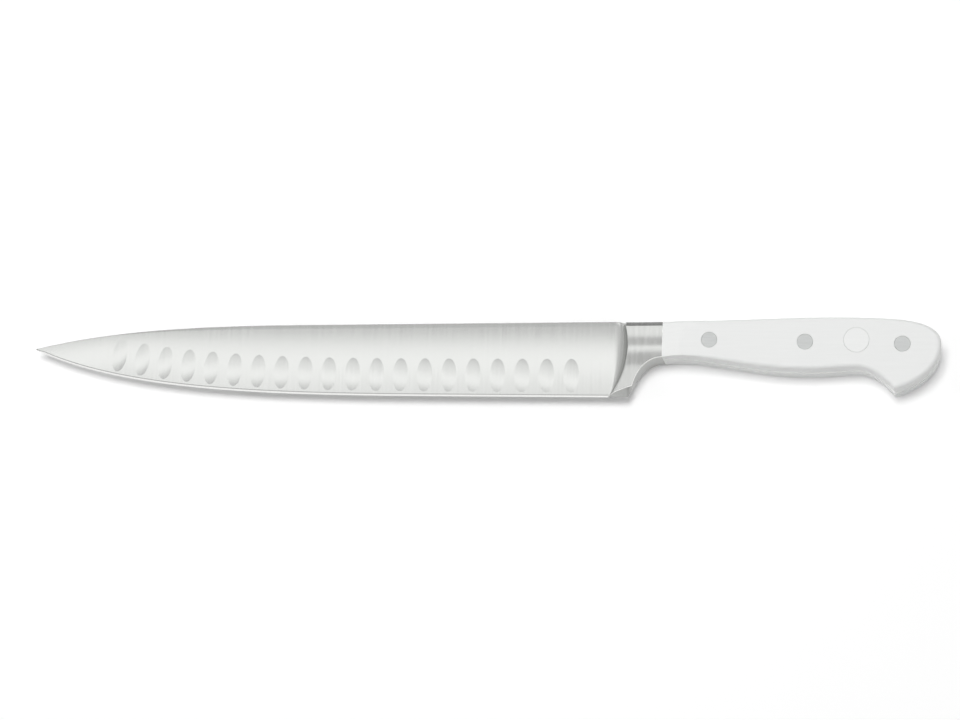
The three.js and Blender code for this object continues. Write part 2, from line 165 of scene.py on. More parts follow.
# The photograph's camera
VIEW_YAW = math.radians(11.02)     # from straight above towards the butt
VIEW_PITCH = math.radians(11.97)   # from straight above towards the edge
VIEW_DISTANCE = 900.0
VIEW_TARGET = (-70.3, 0.0, 0.0)
VIEW_WIDTH = math.radians(22.983)

# Light: a key lamp overhead, a low fill from the tip's side, and strip softboxes along the knife that
# only show mirrored; a strip's angle is counted from the horizon behind the spine, over the top
KEY = {"where": (0.06, 0.14, 1.4), "width": 0.42, "height": 0.42, "strength": 22.5}
FILL = {"where": (-1.2, 0.0, 0.44), "width": 0.5, "height": 0.5, "strength": 4.0}
STRIPS = {                     # angle and skew in degrees, width, strength
    "rear_strip": (56, 0, 0.35, 0.56),
    "overhead_strip": (82, -4, 0.08, 0.83),
    "middle_strip": (86.5, -4, 0.08, 0.5),
    "front_strip": (127, 0, 0.75, 0.42),
}
STRIP_DISTANCE = 1.0
STRIP_LENGTH = 3.4
ROOM_LIGHT = 0.3               # light that the room adds to matt surfaces
OVERHEAD_SEEN = 0.75           # how bright the room is seen: overhead, at the horizon, and behind the spine
HORIZON_SEEN = 0.66
BEHIND_SEEN = 0.38
OVERHEAD_TURN = (0.2, 0.7)     # heights of a direction, 1 being upright, from horizon to overhead
BEHIND_TURN = (0.3, 0.8)       # reaches of a direction to the back, 1 being level, to behind the spine
FLOOR_HALF = 1.5               # half the floor's width
FLOOR_LIFT = 0.15              # glow that lifts the paper to white where it is seen

# Finishes
NOISE_RANGE = (0.3, 0.7)       # nearly all values of a noise pattern lie between these
BRUSH_SMEAR = 0.75             # how far brushing draws reflections out: 0 not at all, 1 the most
# The sharpened steel's brighter colour is a painted highlight along the edges; the rough underside steel's
# darker colour is painted shade
SHARPENED_HIGHLIGHT, BELT_GROUND, ROUGH_GROUND_SHADE = 1, 2, 3     # places in the forging's materials, after its satin steel

# Fineness of the meshes
LINE_POINTS = 3000             # on spine and edge, whose height is read off between them
CELL_COLUMNS = 12              # for each hollow
CELL_RINGS = (0.4, 0.7, 0.9, 1.0)      # shares of the way from a cell's outline to the rim of its hollow
DISH_RINGS = (0.93, 0.84, 0.72, 0.58, 0.42, 0.24, 0.0)     # shares of the rim's radius, down in the hollow
BAND_ROWS = 20                 # in the face's band of hollows
UPPER_ROWS = 8                 # above it
EDGE_ROWS = 4                  # in the sharpened edge and along the finger guard
BEVEL_ROWS = 2                 # of these, in the bevel
TOP_ROWS = 6                   # in the broken corner of the spine and the bevel of the bolster's back
ON_FACE = slice(EDGE_ROWS, -TOP_ROWS)      # the part of a bolster's column that lies on the face
ROUND_ROWS = 8                 # in the rounded edges of the scales
FILLET_COLUMNS = 25
CREST_POINTS = 7
FOOT_POINTS = 11
GUARD_POINTS = 31
LONG_CURVE = 41                # points on the handle's curves
BUTT_CURVE = 33
SHOULDER_CURVE = 21
WAIST_CURVE = 17
BEAK_CURVE = 11
ROUND_SIDES = 72
FRONT_POINTS = 40              # each way, in the swelling at the scales' front
SWELLING_END = 2 * RAMP_LENGTH     # and so far from the joint
BULGE_FADE = 4                 # power by which the crest's curve fades out over the cheek
MOST_STRETCH = 2               # a sharp corner of an offset path reaches out by no more than this
FOLD_SHARE = 0.97              # an offset point nearer to the path than this share has folded over
FOOT_SEARCHES = 30             # more than enough to find where crest and foot meet
SAME_DECIMALS = 4              # points that agree to this many decimals are one
TINY = 1e-6                    # a length that counts as nothing
SEAM_ROW = 0.2                 # a narrow row next to each rounding keeps the flat faces flat in shading

MIRROR = np.array([1, 1, -1])  # from the left side to the right
SIDES = (np.ones(3), MIRROR)


def place(points):
    """Points in millimetres to the frame's metres: the left scale starts at the joint, reaches up to
    the left cheek, and has the highest point of the back."""
    low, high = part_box("left_scale")
    shift = np.array([low.x, high.y, high.z]) - np.array([0.0, HANDLE_CROWN.y, CHEEK]) / METRE
    return np.asarray(points) / METRE + shift


def new_object(name, data):
    """An object of the scene that holds a mesh, lamp or camera."""
    thing = bpy.data.objects.new(name, data)
    bpy.context.scene.collection.objects.link(thing)
    return thing


class Body:
    """The mesh of one piece; points at the same place are one point."""

    def __init__(self):
        self.points = []
        self.known = {}
        self.faces = []
        self.finishes = []
        self.creases = set()

    def add(self, point):
        """The number of the point at a place."""
        key = tuple(round(float(c), SAME_DECIMALS) for c in point)
        if key not in self.known:
            self.known[key] = len(self.points)
            self.points.append([float(c) for c in point])
        return self.known[key]

    def face(self, corners, finish=0):
        """One face; finish is the place of its material. A face that is no more than a line is left out."""
        ids = [self.add(p) for p in corners]
        ids = [a for a, b in zip(ids, ids[1:] + ids[:1]) if a != b]
        if len(set(ids)) > 2:
            self.faces.append(ids)
            self.finishes.append(finish)

    def grid(self, rows, skip=(), finish=0):
        """Faces between rows of points, apart from the (row, place) pairs to skip."""
        for i in range(len(rows) - 1):
            for k in range(len(rows[0]) - 1):
                if (i, k) not in skip:
                    self.face([rows[i][k], rows[i][k + 1], rows[i + 1][k + 1], rows[i + 1][k]], finish)

    def crease(self, path):
        """Keeps the edges along a path sharp in the shading."""
        ids = [self.add(p) for p in path]
        self.creases.update(frozenset(pair) for pair in zip(ids, ids[1:]))

    def build(self, name, slot, *materials):
        """The finished piece, which stands for the frame's node of that name."""
        mesh = bpy.data.meshes.new(name)
        mesh.from_pydata(place(self.points).tolist(), [], self.faces)
        for material in materials:
            mesh.materials.append(material)
        mesh.polygons.foreach_set("material_index", self.finishes)
        work = bmesh.new()
        work.from_mesh(mesh)
        bmesh.ops.recalc_face_normals(work, faces=work.faces)
        for face in work.faces:
            face.smooth = True
        for edge in work.edges:
            edge.smooth = frozenset(v.index for v in edge.verts) not in self.creases
        work.to_mesh(mesh)
        work.free()
        piece = new_object(name + "_dressed", mesh)
        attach(piece, "root")
        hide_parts(name)


def bezier(a, b, c, d, count):
    """Points of a cubic curve, both ends included."""
    t = np.linspace(0, 1, count)[:, None]
    a, b, c, d = (np.array(p, float) for p in (a, b, c, d))
    return a * (1 - t) ** 3 + 3 * b * t * (1 - t) ** 2 + 3 * c * t ** 2 * (1 - t) + d * t ** 3


def lerp(a, b, share):
    return a + (b - a) * share


def smooth(share):
    return share ** 2 * (3 - 2 * share)


def flat_to(points, z):
    """Points in the side view, lifted to height z, which is one number or one for each point."""
    points = np.asarray(points, float)
    return np.column_stack([points, np.broadcast_to(z, len(points))])


def closed(ring):
    return np.vstack([ring, ring[:1]])


def offset_inward(path, distance):
    """A path moved to its left; where it would fold over itself, its points are drawn together."""
    path = np.asarray(path, float)
    step = np.diff(path, axis=0)
    step /= np.hypot(*step.T)[:, None]
    before = np.vstack([step[:1], step])
    after = np.vstack([step, step[-1:]])
    normal = np.column_stack([-(before + after)[:, 1], (before + after)[:, 0]])
    normal /= np.hypot(*normal.T)[:, None]
    across = np.column_stack([-after[:, 1], after[:, 0]])
    stretch = 1 / np.maximum(np.sum(normal * across, axis=1), 1 / MOST_STRETCH)
    distance = np.broadcast_to(distance, len(path))
    moved = path + normal * (distance * stretch)[:, None]
    gap = np.hypot(*(moved[:, None] - path[None]).transpose(2, 0, 1)).min(axis=1)
    good = gap > FOLD_SHARE * distance
    good[[0, -1]] = True
    place_along = np.arange(len(path))
    for axis in (0, 1):
        moved[~good, axis] = np.interp(place_along[~good], place_along[good], moved[good, axis])
    return moved


def patch_from(left, bottom, top, across, up):
    """Columns of points from bottom to top: the first is a given curve, and the others soon run straight.
    Across and up are shares of the way, from 0 to 1."""
    bulge = left - lerp(bottom[0], top[0], up[:, None])
    return np.array([
        lerp(low, high, up[:, None]) + bulge * (1 - u) ** BULGE_FADE
        for low, high, u in zip(bottom, top, across)])


# Blade

def blade_line(heel_y, slope, bend, bend_reach, tip_y, tip_slope):
    """Side view of spine or edge: straight from the heel, then a curve to the tip. Tip comes first."""
    straight = BLADE_LENGTH - bend
    turn = np.array([HEEL_X - straight, heel_y + slope * straight])
    leave = turn + np.array([-bend_reach, slope * bend_reach])
    tip = np.array([TIP_X, tip_y])
    arrive = tip + np.array([TIP_REACH, tip_slope * TIP_REACH])
    return np.vstack([bezier(tip, arrive, leave, turn, LINE_POINTS), [[HEEL_X, heel_y]]])


SPINE = blade_line(
    SPINE_HEIGHT, -SPINE_SLOPE, SPINE_BEND, SPINE_BEND_REACH, TIP_HEIGHT + TIP_BLUNT / 2, SPINE_TIP_SLOPE)
EDGE = blade_line(
    -EDGE_DEPTH, EDGE_SLOPE, EDGE_BEND, EDGE_BEND_REACH, TIP_HEIGHT - TIP_BLUNT / 2, -EDGE_TIP_SLOPE)


def spine_y(x):
    return np.interp(x, *SPINE.T)


def edge_y(x):
    return np.interp(x, *EDGE.T)


def bevel_height(x):
    return np.minimum(BEVEL_HEIGHT, (spine_y(x) - edge_y(x)) * TIP_BEVEL_SHARE)


def blade_half(x, y):
    """Half thickness of the blade above its sharpened edge, without the hollows."""
    spine = spine_y(x)
    down = np.clip((spine - y) / (spine - edge_y(x) - bevel_height(x)), 0, 1)
    spine_half = lerp(SPINE_HALF, TIP_HALF, (HEEL_X - x) / BLADE_LENGTH)
    swelling = (spine_half - EDGE_HALF) * smooth(np.clip((x - TIP_X) / TIP_FLAT_LENGTH, 0, 1))
    return EDGE_HALF + swelling * (1 - down ** GRIND_CURVE)


def blade_columns():
    """Column places from heel to tip, and the number of the column where the first hollow's cell starts."""
    step = HOLLOW_PITCH / CELL_COLUMNS
    start = FIRST_HOLLOW - HOLLOW_PITCH / 2
    heel = np.linspace(0, start, CELL_COLUMNS + 1)[:-1]
    count = int((BLADE_LENGTH - start) / step)
    from_heel = np.concatenate([heel, start + step * np.arange(count), [BLADE_LENGTH]])
    return HEEL_X - from_heel, len(heel)


def blade_column(x):
    """Points of one column of the left face without hollows, from the edge up to the spine."""
    edge, spine, bevel = edge_y(x), spine_y(x), bevel_height(x)
    height = spine - edge
    ease = min(SPINE_EASE, TIP_EASE_SHARE * height)
    low = min(HOLLOW_TO_EDGE - BAND_MARGIN, lerp(bevel, height, TIP_BAND[0]))
    high = min(HOLLOW_TO_EDGE + HOLLOW_LENGTH + BAND_MARGIN, TIP_BAND[1] * (height - ease))
    rows = np.concatenate([
        bevel * np.interp(np.arange(EDGE_ROWS + 1), [0, BEVEL_ROWS, EDGE_ROWS], [0, BEVEL_SHARE, 1]),
        np.linspace(low, high, BAND_ROWS + 1),
        np.linspace(high, height - ease, UPPER_ROWS + 1)[1:],
    ])
    z = blade_half(x, edge + rows)
    shares = np.linspace(0, 1, EDGE_ROWS + 1)
    z[:EDGE_ROWS + 1] = np.interp(shares, [0, BEVEL_ROWS / EDGE_ROWS, 1], [0, BEVEL_HALF, EDGE_HALF])
    turn = np.linspace(0, math.pi / 2, TOP_ROWS + 1)[1:]
    y = np.concatenate([edge + rows, spine - ease * (1 - np.sin(turn))])
    z = np.concatenate([z, z[-1] - ease * (1 - np.cos(turn))])
    return np.column_stack([np.full(len(y), x), y, z])


def hollow_rings(outline, x, side):
    """Rings of points from a cell's outline to the rim of its hollow and down to its floor."""
    half_width = HOLLOW_WIDTH / 2
    half_length = HOLLOW_LENGTH / 2
    ends = edge_y(np.array([x - half_width, x + half_width]))
    lean = HOLLOW_LEAN * math.atan2(ends[1] - ends[0], HOLLOW_WIDTH)
    along = np.array([math.cos(lean), math.sin(lean)])
    upward = np.array([-along[1], along[0]])
    centre = np.array([x, edge_y(x) + HOLLOW_TO_EDGE + half_length])
    offset = outline[:, :2] - centre
    turn = np.arctan2(offset @ upward / half_length, offset @ along / half_width)
    sideways = half_width * np.outer(np.cos(turn), along)
    rim = centre + sideways + half_length * np.outer(np.sin(turn), upward)
    rings = [outline]
    for share in CELL_RINGS:
        ring = lerp(outline[:, :2], rim, share)
        rings.append(flat_to(ring, side * blade_half(*ring.T)))
    for radius in DISH_RINGS:
        ring = lerp(centre, rim, radius)
        rings.append(flat_to(ring, side * (blade_half(*ring.T) - HOLLOW_DEPTH * (1 - radius ** 2))))
    return rings


def blade_side(body, columns, first_cell, side):
    """One face of the blade with its row of hollows; the right face's row is half a pitch further on."""
    low = EDGE_ROWS + 1
    high = low + BAND_ROWS
    start = first_cell if side > 0 else first_cell + CELL_COLUMNS // 2
    x = HEEL_X - (FIRST_HOLLOW if side > 0 else FIRST_HOLLOW + HOLLOW_PITCH / 2)
    faces = columns * np.array([1, 1, side])
    covered = set()
    while x >= TIP_X + HOLLOWS_END:
        end = start + CELL_COLUMNS
        covered.update((i, k) for i in range(start, end) for k in range(low, high))
        outline = np.concatenate([
            faces[start:end, low],
            faces[end, low:high],
            faces[end:start:-1, high],
            faces[start, high:low:-1],
        ])
        rings = [closed(ring) for ring in hollow_rings(outline, x, side)]
        body.grid(rings)
        body.crease(rings[len(CELL_RINGS)])
        start = end
        x -= HOLLOW_PITCH
    covered.update((i, k) for i in range(len(faces)) for k in range(BEVEL_ROWS))
    body.grid(faces, covered)
    # The bevel gets the sharpened steel, whose brighter colour is a painted highlight along the cutting edge
    body.grid(faces[:, :BEVEL_ROWS + 1], finish=SHARPENED_HIGHLIGHT)
    for row in (0, BEVEL_ROWS, EDGE_ROWS):
        body.crease(faces[:, row])


# Bolster

def crowned_half(y):
    """Half thickness of the bolster's crowned cheeks at the joint."""
    return BOLSTER_HALF - CROWN_RADIUS + np.sqrt(CROWN_RADIUS ** 2 - (y - CROWN_HEIGHT) ** 2)


def crest_x(y):
    """Place of the arched crest along the knife."""
    return -CREST_SETBACK - CREST_RADIUS + np.sqrt(CREST_RADIUS ** 2 - (y - CROWN_HEIGHT) ** 2)


def top_line(x):
    """Height of the bolster's back."""
    dip = np.clip((np.asarray(x) - BACK_DIP_START) / (-CREST_SETBACK - BACK_DIP_START), 0, 1)
    return lerp(SPINE_HEIGHT, BOLSTER_TOP, smooth(dip))


def foot_line(x):
    """Height of the foot, from the blade's heel to the foot's rear corner."""
    corners = np.array([(HEEL_X, -EDGE_DEPTH), FOOT_FRONT, FOOT_REAR])
    return np.interp(x, *corners.T)


def cheek_half(x, y):
    """Half thickness of the bolster between joint and crest."""
    return crowned_half(y) - BOLSTER_TAPER * np.clip(x / crest_x(y), 0, 1)


def fillet_profile(blade, crest, corner):
    """One section of the fillet from blade to cheek: x and height above the middle plane. The sweep ends
    in a small rounding on either side of the corner."""
    ease = min(CREST_ROUND, CREST_ROUND_SHARE * (crest - blade))
    radius = (crest - blade - ease * math.sin(FILLET_SWEEP)) / (1 - math.cos(FILLET_SWEEP))
    end = corner - ease * math.cos(FILLET_SWEEP)
    turn = np.linspace(0, FILLET_SWEEP, FILLET_COLUMNS)
    sweep = np.column_stack([
        end - radius * (math.sin(FILLET_SWEEP) - np.sin(turn)), blade + radius * (1 - np.cos(turn))])
    slope = BOLSTER_TAPER / CREST_SETBACK
    after = np.array([corner + ease, crest + ease * slope])
    t = np.linspace(0, 1, CREST_POINTS)[1:, None]
    corner_curve = sweep[-1] * (1 - t) ** 2 + 2 * t * (1 - t) * np.array([corner, crest]) + after * t ** 2
    return np.vstack([[HEEL_X, blade], sweep, corner_curve]).T


def broken(bottom, inner, depth, roundness):
    """Points from a lower boundary up to the face: a straight bevel at roundness 0, a quarter round at 1."""
    k = np.linspace(0, 1, EDGE_ROWS + 1)[:-1]
    turn = k * math.pi / 2
    share = lerp(k, 1 - np.cos(turn), roundness)
    drop = depth * lerp(1 - k, 1 - np.sin(turn), roundness)
    xy = lerp(np.asarray(bottom), np.asarray(inner[:2]), share[:, None])
    return flat_to(xy, inner[2] - drop)


def bevelled_top(inner, top, share):
    """Points from the face up to the back; share 0 is the spine's broken edge, 1 the bolster's bevel."""
    t = np.linspace(0, 1, TOP_ROWS + 1)[1:]
    width = top[1] - inner[1]
    start, end = TOP_STEEPNESS
    drop = lerp(1 - np.cos(t * math.pi / 2), start * t + (end - start) / 2 * t ** 2, share)
    rise = lerp(np.sin(t * math.pi / 2), t, share)
    return flat_to(lerp(np.asarray(inner[:2]), np.asarray(top), rise[:, None]), inner[2] - width * drop)


def sweep_columns(heel, shares):
    """Columns from the blade's heel column, over the fillet and on to the far side of the crest."""
    heel_y, heel_z = heel[ON_FACE, 1], heel[ON_FACE, 2]

    # The crest's lower end lies on the foot's line, its upper end below the bevelled back
    low = -EDGE_DEPTH
    for _ in range(FOOT_SEARCHES):
        low = foot_line(crest_x(low))
    high = top_line(crest_x(BOLSTER_TOP)) - TOP_CHAMFER
    crest_y = lerp(low + GUARD_EASE, high, shares)
    profiles = [
        fillet_profile(blade, cheek_half(crest_x(y), y), crest_x(y)) for blade, y in zip(heel_z, crest_y)]
    columns = [heel]
    for i in range(1, len(profiles[0][0])):
        x = np.array([p[0][i] for p in profiles])
        z = np.array([p[1][i] for p in profiles])
        lift = np.clip((z[-1] - heel_z[-1]) / (cheek_half(crest_x(high), high) - heel_z[-1]), 0, 1)
        share = (x[0] - HEEL_X) / (crest_x(crest_y[0]) - HEEL_X)
        ends = lerp(heel_y[0], crest_y[0], share), top_line(x[-1]) - lerp(SPINE_EASE, TOP_CHAMFER, lift)
        face = np.column_stack([x, lerp(*ends, shares), z])
        ease = min(lerp(EDGE_HALF, GUARD_EASE, lift), GUARD_EASE_SHARE * z[0])
        under = broken((x[0], foot_line(x[0])), face[0], ease, lift)
        back = bevelled_top(face[-1], (x[-1], top_line(x[-1])), lift)
        columns.append(np.vstack([under, face, back]))
    return columns


def cheek_columns(crest, shares):
    """Columns from the crest's column to the joint, between finger guard and back."""
    foot_x = np.linspace(crest[0, 0], FOOT_REAR[0], FOOT_POINTS)
    foot = np.column_stack([foot_x, foot_line(foot_x)])
    lean = np.add(FOOT_REAR, FOOT_LEAN)
    arc = bezier(FOOT_REAR, lean, (FOOT_REAR[0] + GUARD_REACH, GUARD_TOP), (0, GUARD_TOP), GUARD_POINTS)
    bottom = np.vstack([foot, arc[1:]])
    steps = np.concatenate([[0], np.cumsum(np.hypot(*np.diff(bottom, axis=0).T))])
    across = steps / steps[-1]
    crest_face = crest[ON_FACE, :2]
    inner = offset_inward(bottom, GUARD_EASE)
    inner[0] = crest_face[0]
    inner[-1] = bottom[-1] + np.array([0, GUARD_EASE])
    back_x = lerp(crest_face[-1, 0], 0.0, across)
    upper = np.column_stack([back_x, top_line(back_x) - TOP_CHAMFER])
    upper[0] = crest_face[-1]
    patch = patch_from(crest_face, inner, upper, across, shares)
    columns = []
    for i in range(1, len(patch)):
        face = flat_to(patch[i], cheek_half(*patch[i].T))
        under = broken(bottom[i], face[0], min(GUARD_EASE, face[0, 2]), 1)
        back = bevelled_top(face[-1], (back_x[i], top_line(back_x[i])), 1)
        columns.append(np.vstack([under, face, back]))
    return columns


def bolster_columns(heel):
    """Columns of points of the left side, from the blade's heel column to the joint."""
    heel_y = heel[ON_FACE, 1]
    shares = (heel_y - heel_y[0]) / (heel_y[-1] - heel_y[0])
    sweep = sweep_columns(heel, shares)
    return np.array(sweep + cheek_columns(sweep[-1], shares))


# Handle

def towards(turn, angle, reach):
    """The point that a curve heads for when it leaves a turn at an angle."""
    return turn.x + reach * math.cos(angle), turn.y + reach * math.sin(angle)


def handle_outline():
    """Side view of tang and scales: from the joint along the belly, round the butt and back to the joint."""
    half_turn = math.pi
    start = (0, GUARD_TOP)
    beak_front, beak_rear = half_turn - BEAK_FRONT_ANGLE, BEAK_REAR_ANGLE
    beak_start, beak_end = (towards(BEAK, angle, BEAK_ROUND) for angle in (beak_front, beak_rear))
    beak_pull = BEAK_ROUND / 3     # makes the beak's rounding a parabola
    curves = [
        bezier(start, (GRIP_START[0], GUARD_TOP + GRIP_START[1]), towards(BELLY, half_turn, BELLY.before),
               BELLY[:2], LONG_CURVE),
        bezier(BELLY[:2], towards(BELLY, 0, BELLY.after), towards(WAIST, half_turn, WAIST.before),
               WAIST[:2], WAIST_CURVE),
        bezier(WAIST[:2], towards(WAIST, 0, WAIST.after), towards(BEAK, beak_front, BEAK.before),
               beak_start, LONG_CURVE),
        bezier(beak_start, towards(BEAK, beak_front, beak_pull), towards(BEAK, beak_rear, beak_pull),
               beak_end, BEAK_CURVE),
        bezier(beak_end, towards(BEAK, beak_rear, BEAK.after), towards(BUTT, -half_turn / 2, BUTT.before),
               BUTT[:2], LONG_CURVE),
        bezier(BUTT[:2], towards(BUTT, half_turn / 2, BUTT.after),
               towards(SHOULDER, -SHOULDER_ANGLE, SHOULDER.before), SHOULDER[:2], BUTT_CURVE),
        bezier(SHOULDER[:2], towards(SHOULDER, half_turn - SHOULDER_ANGLE, SHOULDER.after),
               towards(HANDLE_CROWN, 0, HANDLE_CROWN.before), HANDLE_CROWN[:2], SHOULDER_CURVE),
        bezier(HANDLE_CROWN[:2], towards(HANDLE_CROWN, half_turn, HANDLE_CROWN.after),
               (BACK_START[0], BOLSTER_TOP + BACK_START[1]), (0, BOLSTER_TOP), LONG_CURVE),
    ]
    return np.vstack([curves[0]] + [curve[1:] for curve in curves[1:]])


def circle(centre, radius):
    turn = np.linspace(0, 2 * math.pi, ROUND_SIDES, endpoint=False)
    return np.column_stack([centre[0] + radius * np.cos(turn), centre[1] + radius * np.sin(turn)])


def filled(outline, holes, loops=(), loose=()):
    """Triangles of a flat outline with round holes, each a (centre, radius) pair. Loops are further
    rings of edges to keep, and loose further points."""
    rings = [np.asarray(outline)] + [circle(*hole) for hole in holes] + list(loops)
    edges = []
    count = 0
    for ring in rings:
        edges += [(count + i, count + (i + 1) % len(ring)) for i in range(len(ring))]
        count += len(ring)
    points = np.vstack(rings + [np.reshape(loose, (-1, 2))])
    flat = [Vector(point) for point in points]
    inside_only = 1
    _, _, faces, origin, _, _ = geometry.delaunay_2d_cdt(flat, edges, [], inside_only, TINY)
    kept = []
    for face in faces:
        corners = points[[origin[i][0] for i in face]]
        middle = corners.mean(axis=0)
        if all(math.dist(middle, centre) > radius for centre, radius in holes):
            kept.append(corners)
    return kept


def turned(body, centre, profile):
    """Surface of revolution about a line along z through centre, from (radius, height) pairs."""
    rows = [closed(flat_to(circle(centre, radius), height)) for radius, height in profile]
    body.grid(rows)
    for row in rows:
        body.crease(row)


def tang_thick(path):
    """The same path, no further from the middle plane than the tang's faces."""
    return np.minimum(path, [math.inf, math.inf, TANG_HALF])


def keel_under(path):
    """Middle of the bolster's underside: a keel below the foot, which carries the blade's edge on and then
    climbs to the foot's rear corner; along the finger guard it is level with the sides."""
    keel = np.interp(path[:, 0], [KEEL_END, FOOT_REAR[0]], [-EDGE_DEPTH, FOOT_REAR[1]])
    below = path[:, 0] < FOOT_REAR[0]
    y = np.where(below, np.minimum(keel, path[:, 1]), path[:, 1])
    z = np.minimum(path[:, 2], np.where(below, KEEL_HALF, TANG_HALF))
    return np.column_stack([path[:, 0], y, z])


def underside(body, bolster):
    """Underside of the bolster with its keel; the foot's rear corner stays crisp."""
    under = bolster[:, 0]
    keel = keel_under(under)
    step = keel - under
    halfway = 0.5
    share = np.minimum(SEAM_ROW / np.maximum(np.linalg.norm(step, axis=1), TINY), halfway)
    seam = under + step * share[:, None]
    seam[-1] = keel[-1]
    strips = [under, seam, keel, keel * MIRROR, seam * MIRROR, under * MIRROR]
    # The underside's darker steel colour is painted shade
    body.grid(strips, finish=ROUGH_GROUND_SHADE)
    foot = under[:, 0] < FOOT_REAR[0]
    for side in SIDES:
        body.crease(under * side)
        body.crease(keel[foot] * side)
    rear = np.argmin(np.hypot(*(under[:, :2] - FOOT_REAR).T))
    corner = np.vstack([bolster[rear, EDGE_ROWS::-1], seam[rear], keel[rear]])
    body.crease(np.vstack([corner, corner[::-1] * MIRROR]))


def forging_mesh():
    """Blade, bolster and tang in one skin."""
    body = Body()
    places, first_cell = blade_columns()
    blade = np.array([blade_column(x) for x in places])
    bolster = bolster_columns(blade[0])
    joint = bolster[-1]
    outline = handle_outline()
    tang_front = flat_to(joint[:, :2], TANG_HALF)
    tang_rim = flat_to(outline, TANG_HALF)
    tang_border = np.vstack([outline, joint[-2:0:-1, :2]])
    for side in SIDES:
        blade_side(body, blade, first_cell, int(side[2]))
        body.grid(bolster[:FILLET_COLUMNS + 1] * side)
        body.grid(bolster[FILLET_COLUMNS:, EDGE_ROWS:] * side, finish=BELT_GROUND)
        # The broken edge along foot and finger guard gets the sharpened steel's brighter colour: a painted
        # highlight line
        body.grid(bolster[FILLET_COLUMNS:, :EDGE_ROWS + 1] * side, finish=SHARPENED_HIGHLIGHT)
        body.grid([joint * side, tang_front * side])
        back_edges = [bolster[FILLET_COLUMNS:, row] for row in (-1, -1 - TOP_ROWS)]
        for line in [joint, tang_front, tang_rim] + back_edges:
            body.crease(line * side)
        for corners in filled(tang_border, HOLES):
            body.face(flat_to(corners, TANG_HALF) * side)

    # Strips across the thickness: back, underside of the bolster, tip, rim of the tang, rivet holes
    back = np.vstack([blade[::-1, -1], bolster[1:, -1]])
    body.grid([back, tang_thick(back), tang_thick(back) * MIRROR, back * MIRROR])
    underside(body, bolster)
    body.grid([blade[-1], blade[-1] * MIRROR])
    body.grid([tang_rim, tang_rim * MIRROR])
    for centre, radius in HOLES:
        turned(body, centre, [(radius, TANG_HALF), (radius, -TANG_HALF)])
    return body


# Scales, rivets and inlay

def face_height(x, y):
    """Face of a scale: a bar-shaped swelling climbs from the bolster and runs out in the flat cheek."""
    bar = crowned_half(y) + x * (CHEEK - BOLSTER_HALF) / RAMP_LENGTH
    below = np.clip((CHEEK - bar + RAMP_SOFTNESS) / (2 * RAMP_SOFTNESS), 0, None)
    return CHEEK - RAMP_SOFTNESS * np.where(below < 1, below ** 2, 2 * below - 1)


def scale_rows(side):
    """Rows of points all round a scale, from the tang over the rounded edge on to the face."""
    outline = handle_outline()
    blend = smooth(np.clip(outline[:, 0] / FLARE_LENGTH, 0, 1))
    upper = outline[:, 1] > CROWN_HEIGHT
    bevel_depth = TOP_CHAMFER * sum(TOP_STEEPNESS) / 2
    across = lerp(np.where(upper, TOP_CHAMFER, GUARD_EASE), EDGE_ROUND, blend)
    depth = lerp(np.where(upper, bevel_depth, GUARD_EASE), EDGE_ROUND_DEPTH, blend)
    inner, rest = (offset_inward(outline, across + more) for more in (0, SEAM_ROW))
    for path, more in ((inner, 0), (rest, SEAM_ROW)):
        path[0] = outline[0] + np.array([0, across[0] + more])
        path[-1] = outline[-1] - np.array([0, across[-1] + more])
    rows = [flat_to(outline, side * TANG_HALF)]
    for angle in np.linspace(0, math.pi / 2, ROUND_ROWS + 1):
        ring = lerp(outline, inner, 1 - math.cos(angle))
        rows.append(flat_to(ring, side * (face_height(*inner.T) - depth * (1 - math.sin(angle)))))
    rows.append(flat_to(rest, side * face_height(*rest.T)))
    return rows


def swelling_points(border):
    """A grid of points inside the border of a scale's face, where it swells from the bolster."""
    near = border[border[:, 0] < 2 * SWELLING_END]
    low, high = near[near[:, 1] < CROWN_HEIGHT], near[near[:, 1] > CROWN_HEIGHT][::-1]
    points = []
    for x in np.linspace(0, SWELLING_END, FRONT_POINTS)[1:]:
        ends = np.interp(x, *low.T), np.interp(x, *high.T)
        points += [(x, y) for y in np.linspace(*ends, FRONT_POINTS)[1:-1]]
    return points


def scale_mesh(side):
    """The left scale for side 1, with a pocket for the inlay, and the right one for side -1."""
    body = Body()
    rows = scale_rows(side)
    body.grid(rows)
    body.crease(rows[0])

    # Face, floor and front
    heads = [(centre, HEAD_RADIUS + PRESS_GAP) for centre in RIVETS.values()]
    pockets = heads + [(INLAY_CENTRE, INLAY_RADIUS + PRESS_GAP)] * (side > 0)
    rims = [(centre, radius + SMALL_EASE) for centre, radius in pockets]
    seams = [circle(centre, radius + SEAM_ROW) for centre, radius in rims]
    border = rows[-1][:, :2]
    front = np.linspace(border[-1], border[0], FRONT_POINTS)[1:-1]
    for corners in filled(np.vstack([border, front]), rims, seams, swelling_points(border)):
        body.face(flat_to(corners, side * face_height(*corners.T)))
    for corners in filled(rows[0][:, :2], HOLES):
        body.face(flat_to(corners, side * TANG_HALF))
    crown = flat_to(front, side * face_height(*front.T))[::-1]
    front_face = np.vstack([[row[0] for row in rows], crown, [row[-1] for row in rows[::-1]]])
    body.face(front_face)
    body.crease(closed(front_face))

    # Stepped holes for the rivets, and the pocket
    for (centre, radius), (_, rim) in zip(pockets, rims):
        top = [(rim, CHEEK), (radius, CHEEK - SMALL_EASE)]
        if centre == INLAY_CENTRE:
            rest_of_hole = [(radius, INLAY_FLOOR), (0, INLAY_FLOOR)]
        else:
            rest_of_hole = [(radius, HEAD_SEAT), (HOLE_RADIUS, HEAD_SEAT), (HOLE_RADIUS, TANG_HALF)]
        turned(body, centre, [(r, side * z) for r, z in top + rest_of_hole])
    return body


def turned_mesh(centre, profile):
    """A piece that is all turned, such as a rivet's half or the inlay."""
    body = Body()
    turned(body, centre, profile)
    return body


